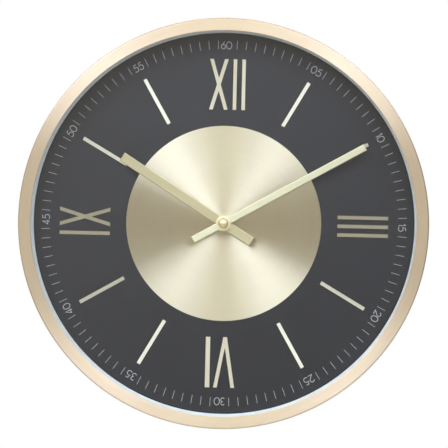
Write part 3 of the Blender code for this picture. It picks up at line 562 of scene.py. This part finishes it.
def finish_piece(name, shape, finish, body, stands_for, sharp_degrees):
    """Make the object of a shape in metres: finish, smooth shading, body, replaced nodes and slot."""
    bmesh.ops.recalc_face_normals(shape, faces=shape.faces)
    mesh = bpy.data.meshes.new(name)
    shape.to_mesh(mesh)
    shape.free()
    mesh.materials.append(FINISH[finish])
    mesh.shade_smooth()
    mesh.set_sharp_from_angle(angle=math.radians(sharp_degrees))
    piece = bpy.data.objects.new(name, mesh)
    bpy.context.scene.collection.objects.link(piece)
    even = piece.modifiers.new("even_flat_faces", "WEIGHTED_NORMAL")
    even.mode, even.weight, even.keep_sharp = "FACE_AREA", 90, True
    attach(piece, body)
    if stands_for:
        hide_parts(*stands_for)
    return piece


def turn(profile, steps=ROUND):
    """Turn a (radius, height) outline round the clock's Z. An outline that starts on the axis ends on it."""
    shape = bmesh.new()
    turns = [2 * math.pi * i / steps for i in range(steps)]
    rings = []
    for radius, height in profile:
        if radius:
            rings.append([shape.verts.new((radius * math.cos(around), radius * math.sin(around), height))
                          for around in turns])
        else:
            rings.append([shape.verts.new((0, 0, height))] * steps)
    pairs = list(zip(rings, rings[1:]))
    if profile[0][0]:
        pairs.append((rings[-1], rings[0]))
    for first, second in pairs:
        for i in range(steps):
            j = (i + 1) % steps
            corners = dict.fromkeys((first[i], first[j], second[j], second[i]))    # three on the axis
            shape.faces.new(tuple(corners))
    return shape


def corner(centre, radius, start, end, steps=4):
    """Points of a rounded corner of an outline, angles in degrees from +radius towards +height."""
    turns = [math.radians(start + (end - start) * i / steps) for i in range(steps + 1)]
    return [(centre[0] + radius * math.cos(t), centre[1] + radius * math.sin(t)) for t in turns]


def washer(bore, radius, low, high, ease):
    """Outline of a flat ring with eased edges."""
    return [(bore, low + ease), (bore + ease, low), (radius - ease, low), (radius, low + ease),
            (radius, high - ease), (radius - ease, high), (bore + ease, high), (bore, high - ease)]


def eased(node, width, segments, only_front):
    """A CAD node's own shape with its facets merged and its sharp edges rounded off."""
    shape = bmesh.new()
    shape.from_mesh(frame["nodes"][node].data)
    bmesh.ops.remove_doubles(shape, verts=shape.verts, dist=1e-7)
    bmesh.ops.dissolve_limit(shape, angle_limit=math.radians(1), verts=shape.verts, edges=shape.edges)
    sharp = [edge for edge in shape.edges if edge.is_manifold and edge.calc_face_angle() > math.radians(30)]
    if only_front:
        front = min(vert.co.y for vert in shape.verts) + 1e-6
        sharp = [edge for edge in sharp if all(vert.co.y < front for vert in edge.verts)]
    bmesh.ops.bevel(shape, geom=sharp, offset=width * MM, segments=segments, profile=0.5,
                    affect="EDGES", clamp_overlap=True)
    return shape


def ease_node(node, width, segments=2, only_front=False, finish=None, name=None, sharp_degrees=CREASE):
    """Replace a CAD node with its eased shape in its slot's finish."""
    slot = SLOT_OF[node]
    return finish_piece(name or "eased_" + node, eased(node, width, segments, only_front), finish or slot,
                        BODY_OF[node], (node,), sharp_degrees)


# Front

def make_rim():
    """The spun rim: its band over the glass, rolled front edge, side wall and a groove beside the hem."""
    inner = RIM_RADIUS - RIM_WALL
    shoulder = RIM_FRONT - EDGE_ROUND
    outline = corner((LIP_RADIUS + 0.3, RIM_FRONT - 0.3), 0.3, 180, 90, 3)
    outline += corner((RIM_RADIUS - EDGE_ROUND, shoulder), EDGE_ROUND, 90, 0, 8)
    outline += [(RIM_RADIUS - depth, height) for height, depth in RIM_GROOVE]
    outline += corner((RIM_RADIUS - 0.35, RIM_BACK + 0.35), 0.35, 0, -90, 3)
    outline += [(inner + 0.2, RIM_BACK), (inner, RIM_BACK + 0.2), (inner, LIP_BACK),
                (LIP_RADIUS + 0.15, LIP_BACK), (LIP_RADIUS, LIP_BACK + 0.15)]
    set_piece("brushed_rim", turn(outline), "rim_gold", stands_for=("front_bezel",))


def make_glass():
    outline = [(0, GLASS_BACK), (FIT_RADIUS - 0.4, GLASS_BACK), (FIT_RADIUS, GLASS_BACK + 0.4),
               (FIT_RADIUS, GLASS_FRONT - 0.4), (FIT_RADIUS - 0.4, GLASS_FRONT), (0, GLASS_FRONT)]
    set_piece("glass", turn(outline), "clear_glass", stands_for=("glass_lens",),
              sharp_degrees=20)


def make_rehaut():
    """The inner ring: a sloped wall between two flanges that stand on the dial and hold the glass."""
    foot = REHAUT_BACK_RADIUS + 0.3
    wall = REHAUT_WALL
    outline = corner((REHAUT_FRONT_RADIUS + 0.3, REHAUT_FRONT - 0.3), 0.3, 180, 90, 3)
    outline += [(FIT_RADIUS, REHAUT_FRONT), (FIT_RADIUS, REHAUT_FRONT - wall),
                (REHAUT_FRONT_RADIUS + wall, REHAUT_FRONT - wall),
                (foot + wall, REHAUT_BACK + wall), (FIT_RADIUS, REHAUT_BACK + wall),
                (FIT_RADIUS, REHAUT_BACK), (foot + 0.1, REHAUT_BACK), (foot, REHAUT_BACK + 0.1)]
    set_piece("silver_rehaut", turn(outline), "ring_silver", stands_for=("rehaut_ring",))


def make_painted_shade_ring():
    """Thin black ring on the dial's margin under the silver ring: painted shade, a dark line round the dial
    where there is only shadow at the ring's foot.
    """
    outline = washer(SHADE_LINE_RADIUS, FIT_RADIUS - 1.0, DIAL_FRONT + 0.05, REHAUT_BACK - 0.05, 0.05)
    set_piece("painted_shade_ring", turn(outline), "rubber")


def make_dial():
    set_piece("dial", turn(washer(CENTRE_HOLE, FIT_RADIUS, DIAL_BACK, DIAL_FRONT, 0.1)), "dial_charcoal",
              stands_for=("dial_plate",))
    set_piece("spun_disc", turn(washer(CENTRE_HOLE, DISC_RADIUS, DISC_BACK, DISC_FRONT, 0.14)),
              "disc_champagne", stands_for=("centre_disc",))


def make_markers():
    """The applied numerals and bars, with only their front edges eased."""
    for node, slot in SLOT_OF.items():
        if slot == "marker_champagne":
            ease_node(node, 0.13, 1, True, sharp_degrees=5)


def ribbon(shape, points, width, low, high, closed=False):
    """A line of print along a path: a strip of even width with mitred joints."""
    count = len(points)
    sides = []
    for i, point in enumerate(points):
        before = points[i - 1] if closed or i else point
        after = points[(i + 1) % count] if closed or i < count - 1 else point
        first = Vector(point) - Vector(before)
        second = Vector(after) - Vector(point)
        first = first.normalized() if first.length else second.normalized()
        second = second.normalized() if second.length else first
        mitre = Vector((-first.y - second.y, first.x + second.x))
        if mitre.length < 0.2:
            mitre = Vector((-first.y, first.x))
        mitre.normalize()
        reach = width / 2 / max(0.45, mitre.dot(Vector((-first.y, first.x))))
        sides.append((Vector(point) + mitre * reach, Vector(point) - mitre * reach))
    layers = [[[shape.verts.new((*side, level)) for side in pair] for pair in sides] for level in (low, high)]
    last = count if closed else count - 1
    for i in range(last):
        j = (i + 1) % count
        (a, b), (c, d) = layers[1][i], layers[1][j]
        (e, f), (g, h) = layers[0][i], layers[0][j]
        for corners in ((a, b, d, c), (e, g, h, f), (a, c, g, e), (b, f, h, d)):
            shape.faces.new(corners)
    if not closed:
        for i in (0, count - 1):
            (a, b), (e, f) = layers[1][i], layers[0][i]
            shape.faces.new((a, b, f, e))


def arc(x, y, radius, start, end, steps=12, tall=1.0):
    turns = [math.radians(start + (end - start) * i / steps) for i in range(steps + 1)]
    return [(x + radius * math.cos(t), y + radius * tall * math.sin(t)) for t in turns]


# Strokes of each figure in a box one unit high: its width, then its lines (a loop is marked closed)
FIGURES = {
    "0": (0.74, [(arc(0.37, 0.5, 0.37, 0, 345, 23, 0.5 / 0.37), True)]),
    "1": (0.24, [([(0.0, 0.80), (0.20, 1.0), (0.20, 0.0)], False)]),
    "2": (0.60, [(arc(0.29, 0.71, 0.29, 170, -38, 12) + [(0.0, 0.0), (0.60, 0.0)], False)]),
    "3": (0.58, [(arc(0.26, 0.755, 0.245, 150, -90, 10), False),
                 (arc(0.28, 0.27, 0.27, 90, -150, 12), False)]),
    "4": (0.58, [([(0.58, 0.27), (0.0, 0.27), (0.42, 1.0), (0.42, 0.0)], False)]),
    "5": (0.62, [([(0.56, 1.0), (0.19, 1.0), (0.09, 0.56)] + arc(0.29, 0.33, 0.33, 118, -145, 14), False)]),
    "6": (0.58, [(arc(0.29, 0.31, 0.29, 0, 342, 19, 0.31 / 0.29), True),
                 ([(0.44, 1.0), (0.05, 0.47)], False)]),
}


def make_track():
    """The printed track: a figure at every hour and a tick at every other step of three degrees."""
    low, high = DIAL_FRONT, DIAL_FRONT + INK_THICK
    ticks = bmesh.new()
    figures = bmesh.new()
    for step in range(TRACK_STEPS):
        turn_back = -2 * math.pi * step / TRACK_STEPS
        spot = Matrix.Rotation(turn_back, 4, "Z")
        if step % 10:
            part = bmesh.new()
            ribbon(part, [(0, TICK_INNER), (0, TICK_OUTER)], TICK_WIDE, low, high)
            join_into(ticks, part, spot)
            continue
        label = f"{(step // 2) or 60:02d}"
        widths = [FIGURES[figure][0] * FIGURE_HIGH for figure in label]
        left = -(sum(widths) + FIGURE_SPACE) / 2 - (TOP_FIGURE_SHIFT if step == 0 else 0)
        part = bmesh.new()
        for figure, width in zip(label, widths):
            for path, closed in FIGURES[figure][1]:
                points = [(left + x * FIGURE_HIGH, FIGURE_FOOT + y * FIGURE_HIGH) for x, y in path]
                ribbon(part, points, FIGURE_STROKE, low, high, closed)
            left += width + FIGURE_SPACE
        join_into(figures, part, spot)
    set_piece("track_ticks", ticks, "track_ink")
    set_piece("track_figures", figures, "track_ink")


def join_into(whole, part, placement):
    """Add one small shape to another at a placement in the clock's frame."""
    bmesh.ops.transform(part, matrix=placement, verts=part.verts)
    mesh = bpy.data.meshes.new("joined")
    part.to_mesh(mesh)
    part.free()
    whole.from_mesh(mesh)
    bpy.data.meshes.remove(mesh)


def make_hands():
    """Both blades, the collet on the minute hand and the domed nut that holds the hands."""
    ease_node("hour_hand", 0.4, 1, True, "hour_hand", "hour_hand_blade", 15)
    ease_node("minute_hand", 0.4, 1, True, "minute_hand", "minute_hand_blade", 15)
    collet = [(COLLET_BORE, HAND_FRONT), (COLLET_RADIUS, HAND_FRONT), (COLLET_RADIUS, HAND_FRONT + 0.3),
              (COLLET_RADIUS - 0.15, HAND_FRONT + 0.45), (4.4, HAND_FRONT + 0.58), (3.75, HAND_FRONT + 0.58),
              (COLLET_BORE, HAND_FRONT + 0.45)]
    set_piece("minute_hand_collet", turn(collet, SMALL_ROUND), "collet", "minute_hand_body")
    shoulder = CAP_FOOT + CAP_SKIRT
    dome = corner((0, 0), 1.0, 90, 0, 10)
    outline = [(CAP_RADIUS * 0.97 * x, shoulder + CAP_DOME * y) for x, y in dome]
    outline[0] = (0, shoulder + CAP_DOME)
    outline += [(CAP_RADIUS, shoulder - 0.1), (CAP_RADIUS, CAP_FOOT + 0.15), (CAP_RADIUS - 0.15, CAP_FOOT),
                (CAP_BORE, CAP_FOOT), (CAP_BORE, CAP_FOOT + CAP_BORE_DEEP), (0, CAP_FOOT + CAP_BORE_DEEP)]
    set_piece("domed_cap_nut", turn(outline, SMALL_ROUND), "cap_brass", "minute_hand_body", ("cap_nut",))


def lattice_solid(corners, faces, low, high, ease):
    """A flat lattice of four-sided cells raised from low to high, with its wall-side edges eased.

    The corners are in the clock's frame. Neighbouring cells share theirs, so the solid is one skin."""
    shape = bmesh.new()
    verts = [shape.verts.new((*corner_place, high)) for corner_place in corners]
    for face in faces:
        shape.faces.new([verts[i] for i in face])
    bmesh.ops.remove_doubles(shape, verts=shape.verts, dist=1e-4)
    bmesh.ops.recalc_face_normals(shape, faces=shape.faces)
    lifted = bmesh.ops.extrude_face_region(shape, geom=shape.faces[:])["geom"]
    moved = [item for item in lifted if isinstance(item, bmesh.types.BMVert)]
    bmesh.ops.translate(shape, verts=moved, vec=(0, 0, low - high))
    rims = [edge for edge in shape.edges if edge.is_manifold and edge.calc_face_angle() > 1.0
            and all(vert.co.z < (low + high) / 2 for vert in edge.verts)]
    bmesh.ops.bevel(shape, geom=rims, offset=ease, segments=2, profile=0.5, affect="EDGES",
                    clamp_overlap=True)
    return shape


def band_between(inner, outer, low, high, ease):
    """A raised band between two closed outlines with the same count of points."""
    count = len(inner)
    faces = [(i, (i + 1) % count, count + (i + 1) % count, count + i) for i in range(count)]
    return lattice_solid(inner + outer, faces, low, high, ease)


def rounded_square(half, radius, steps=6):
    """Outline of a square with rounded corners, centred on the hands' axis."""
    reach = half - radius
    points = []
    for quarter, (x, y) in enumerate(((reach, reach), (-reach, reach), (-reach, -reach), (reach, -reach))):
        points += arc(x, y, radius, 90 * quarter, 90 * quarter + 90, steps)
    return points


def keyhole_round(spare):
    """The keyhole's outline, wider by spare all round."""
    slot, entry = KEYHOLE_SLOT + spare, KEYHOLE_ENTRY + spare
    slot_y = AXIS_DROP - KEYHOLE_SLOT
    meet = math.degrees(math.acos(slot / entry))
    return arc(0, slot_y, slot, 0, 180, 12) + arc(0, slot_y - KEYHOLE_DROP, entry, 180 - meet, 360 + meet, 28)


def make_cover_ribs():
    """Two rings joined by spokes that stiffen the cover, all in one lattice."""
    between = 10                                    # facets from one spoke to the next
    corners, faces = [], []

    def corner_at(radius, turn_angle):
        corners.append((radius * math.sin(turn_angle), radius * math.cos(turn_angle)))
        return len(corners) - 1

    pitch = 360 / SPOKES
    for spoke in range(SPOKES):
        middle = math.radians(pitch * (spoke + 0.5))
        beyond = middle + math.radians(pitch)
        for (low, high), meets_at in ((INNER_RIB, INNER_RIB[1]), (OUTER_RIB, OUTER_RIB[0])):
            open_at = math.asin(SPOKE_HALF / meets_at)
            stations = [middle - open_at] + [
                middle + open_at + (beyond - middle - 2 * open_at) * i / between for i in range(between + 1)]
            for first, second in zip(stations, stations[1:]):
                faces.append((corner_at(low, first), corner_at(high, first), corner_at(high, second),
                              corner_at(low, second)))
        near, far = math.asin(SPOKE_HALF / INNER_RIB[1]), math.asin(SPOKE_HALF / OUTER_RIB[0])
        faces.append((corner_at(INNER_RIB[1], middle - near), corner_at(OUTER_RIB[0], middle - far),
                      corner_at(OUTER_RIB[0], middle + far), corner_at(INNER_RIB[1], middle + near)))
    set_piece("cover_ribs", lattice_solid(corners, faces, RIB_HEIGHT, COVER_BACK + SUNK, 0.3), "case_black")


def make_back_details():
    """Raised work that the mouldings carry on the wall side."""
    make_cover_ribs()
    for name, inner, outer, low, seat, ease in (
            ("window_frame", rounded_square(29.4, 1.5), rounded_square(32.6, 4.0),
             FRAME_HEIGHT, COVER_BACK, 0.5),
            ("keyhole_collar", keyhole_round(0.3), keyhole_round(2.8), COLLAR_HEIGHT, COVER_BACK, 0.4),
            ("movement_case_step", rounded_square(26.4, 1.2), rounded_square(27.5, 1.8),
             STEP_HEIGHT, CASE_BACK, 0.15)):
        set_piece(name, band_between(inner, outer, low, seat + SUNK, ease), "case_black")

    marks = bmesh.new()
    low, high = CASE_BACK - 0.25, CASE_BACK + SUNK
    line, x, y, reach = 0.7, POLARITY_X, POLARITY_Y, POLARITY_REACH
    for first, second in (((-x - reach, y), (-x + reach, y)), ((x - reach, y), (x - line / 2, y)),
                          ((x + line / 2, y), (x + reach, y)), ((x, y - reach), (x, y + reach))):
        ribbon(marks, [first, second], line, low, high)
    ribbon(marks, arc(*KNOB_PLACE, ARROW_RADIUS, ARROW_END, 215, 30), 0.8, low, high)
    set_piece("moulded_marks", marks, "case_black")

    tip = bmesh.new()
    end = math.radians(ARROW_END)
    out, along = Vector((math.cos(end), math.sin(end))), Vector((math.sin(end), -math.cos(end)))
    base = Vector(KNOB_PLACE) + out * ARROW_RADIUS
    points = [base + out * 1.4, base + along * 2.6, base - out * 1.4]
    lower = [tip.verts.new((*point, low)) for point in points]
    upper = [tip.verts.new((*point, high)) for point in points]
    tip.faces.new(lower)
    tip.faces.new(upper[::-1])
    for i in range(3):
        tip.faces.new((lower[i], upper[i], upper[(i + 1) % 3], lower[(i + 1) % 3]))
    set_piece("turning_arrow_tip", tip, "case_black")


def make_back():
    """What shows from the wall side and at the movement, with moulded or stamped edges eased."""
    for node, width in (("case_ring", 0.25), ("back_cover", 0.3), ("set_knob", 0.25),
                        ("movement_rear_case", 0.35), ("movement_front_case", 0.3),
                        ("fixing_nut", 0.25), ("battery_contact_positive", 0.1),
                        ("battery_contact_negative", 0.1)):
        ease_node(node, width)
    for number in range(1, 5):
        ease_node(f"back_cover_screw_{number}", 0.12)


def dress_cad_nodes():
    """Every CAD node takes the finish of its slot, shown or not. The hands have a finish each."""
    for name, node in frame["nodes"].items():
        slot = SLOT_OF[name] if SLOT_OF[name] in FINISH else "minute_hand"
        for place in node.material_slots:
            place.material = FINISH[name if name in ("hour_hand", "minute_hand") else slot]


# Studio

def make_studio():
    """Pale floor, white backdrop, a room graded from top left for reflections, and four soft lamps."""
    floor_mesh = bpy.data.meshes.new("studio_floor")
    shape = bmesh.new()
    bmesh.ops.create_grid(shape, x_segments=2, y_segments=2, size=4.0)
    bmesh.ops.translate(shape, verts=shape.verts, vec=(0, 0, FLOOR_LEVEL))
    shape.to_mesh(floor_mesh)
    shape.free()
    pale = bpy.data.materials.new("pale_floor")
    pale.use_nodes = True
    pale.node_tree.nodes["Principled BSDF"].inputs["Base Color"].default_value = (0.86, 0.86, 0.86, 1.0)
    pale.node_tree.nodes["Principled BSDF"].inputs["Roughness"].default_value = 0.8
    floor_mesh.materials.append(pale)
    floor = bpy.data.objects.new("studio_floor", floor_mesh)
    bpy.context.scene.collection.objects.link(floor)

    world = bpy.data.worlds.new("studio")
    bpy.context.scene.world = world
    world.use_nodes = True
    tree = world.node_tree
    room = tree.nodes["Background"]
    facing = put(tree, "ShaderNodeTexCoord").outputs["Generated"]
    towards_top_left = put(tree, "ShaderNodeVectorMath", {0: facing, 1: (-0.45, 0.0, 0.9)},
                           operation="DOT_PRODUCT").outputs["Value"]
    tree.links.new(tint(tree, spread(tree, towards_top_left, -0.09, 0.10), (0.265, 0.235, 0.185),
                        (0.61, 0.57, 0.51)), room.inputs["Color"])
    backdrop = put(tree, "ShaderNodeBackground", {"Color": (1.0, 1.0, 1.0, 1.0), "Strength": 1.0})
    path = put(tree, "ShaderNodeLightPath")
    either = put(tree, "ShaderNodeMixShader", {
        0: path.outputs["Is Camera Ray"], 1: room.outputs[0], 2: backdrop.outputs[0]})
    tree.links.new(either.outputs[0], tree.nodes["World Output"].inputs["Surface"])

    softbox("softbox_left", -41.2, 50.5, 1.85, 1.76, 49.0, (0.875, 1.0, 1.40))
    softbox("softbox_right", 33.5, 45.5, 1.68, 1.76, 43.0, (0.875, 1.0, 1.40))
    softbox("softbox_top", -3.8, 48.5, 1.23, 1.76, 18.5, (0.92, 1.0, 1.13))
    softbox("softbox_back", 12.0, 158.0, 1.6, 1.6, 48.0, (1.0, 0.97, 0.93))


def softbox(name, clock_degrees, off_axis, wide, high, power, colour):
    """A soft lamp that looks at the hands' axis, placed by its clock direction and its angle off it."""
    light = bpy.data.lights.new(name, "AREA")
    light.shape = "RECTANGLE"
    light.size = wide
    light.size_y = high
    light.energy = power
    light.color = colour
    lamp = bpy.data.objects.new(name, light)
    clock, off = math.radians(clock_degrees), math.radians(off_axis)
    away = Vector((math.sin(off) * math.sin(clock), -math.cos(off), math.sin(off) * math.cos(clock)))
    lamp.location = Vector(HUB) + away * LAMP_DISTANCE
    lamp.rotation_mode = "QUATERNION"
    lamp.rotation_quaternion = away.to_track_quat("Z", "Y")
    lamp.visible_camera = False
    bpy.context.scene.collection.objects.link(lamp)


def make_camera():
    """Close to straight in front, with a slight roll."""
    data = bpy.data.cameras.new("camera")
    camera = bpy.data.objects.new("camera", data)
    bpy.context.scene.collection.objects.link(camera)
    data.sensor_width = 36.0
    data.lens = data.sensor_width * CAMERA_DISTANCE / FRAME_WIDTH
    data.clip_start, data.clip_end = 0.05, 30.0
    target = Vector((AIM_RIGHT, -RIM_FRONT * MM, HUB[2] - AIM_DOWN))
    right, up = math.radians(CAMERA_RIGHT), math.radians(CAMERA_UP)
    away = Vector((math.sin(right) * math.cos(up), -math.cos(right) * math.cos(up), math.sin(up)))
    camera.location = target + away * CAMERA_DISTANCE
    aim = away.to_track_quat("Z", "Y").to_matrix().to_4x4()
    roll = Matrix.Rotation(math.radians(CAMERA_ROLL), 4, "Z")
    camera.rotation_mode = "QUATERNION"
    camera.rotation_quaternion = (aim @ roll).to_quaternion()
    bpy.context.scene.camera = camera


dress_cad_nodes()
make_rim()
make_glass()
make_rehaut()
make_painted_shade_ring()
make_dial()
make_markers()
make_track()
make_hands()
make_back()
make_back_details()
make_studio()
make_camera()
bpy.context.scene.view_settings.view_transform = "Standard"
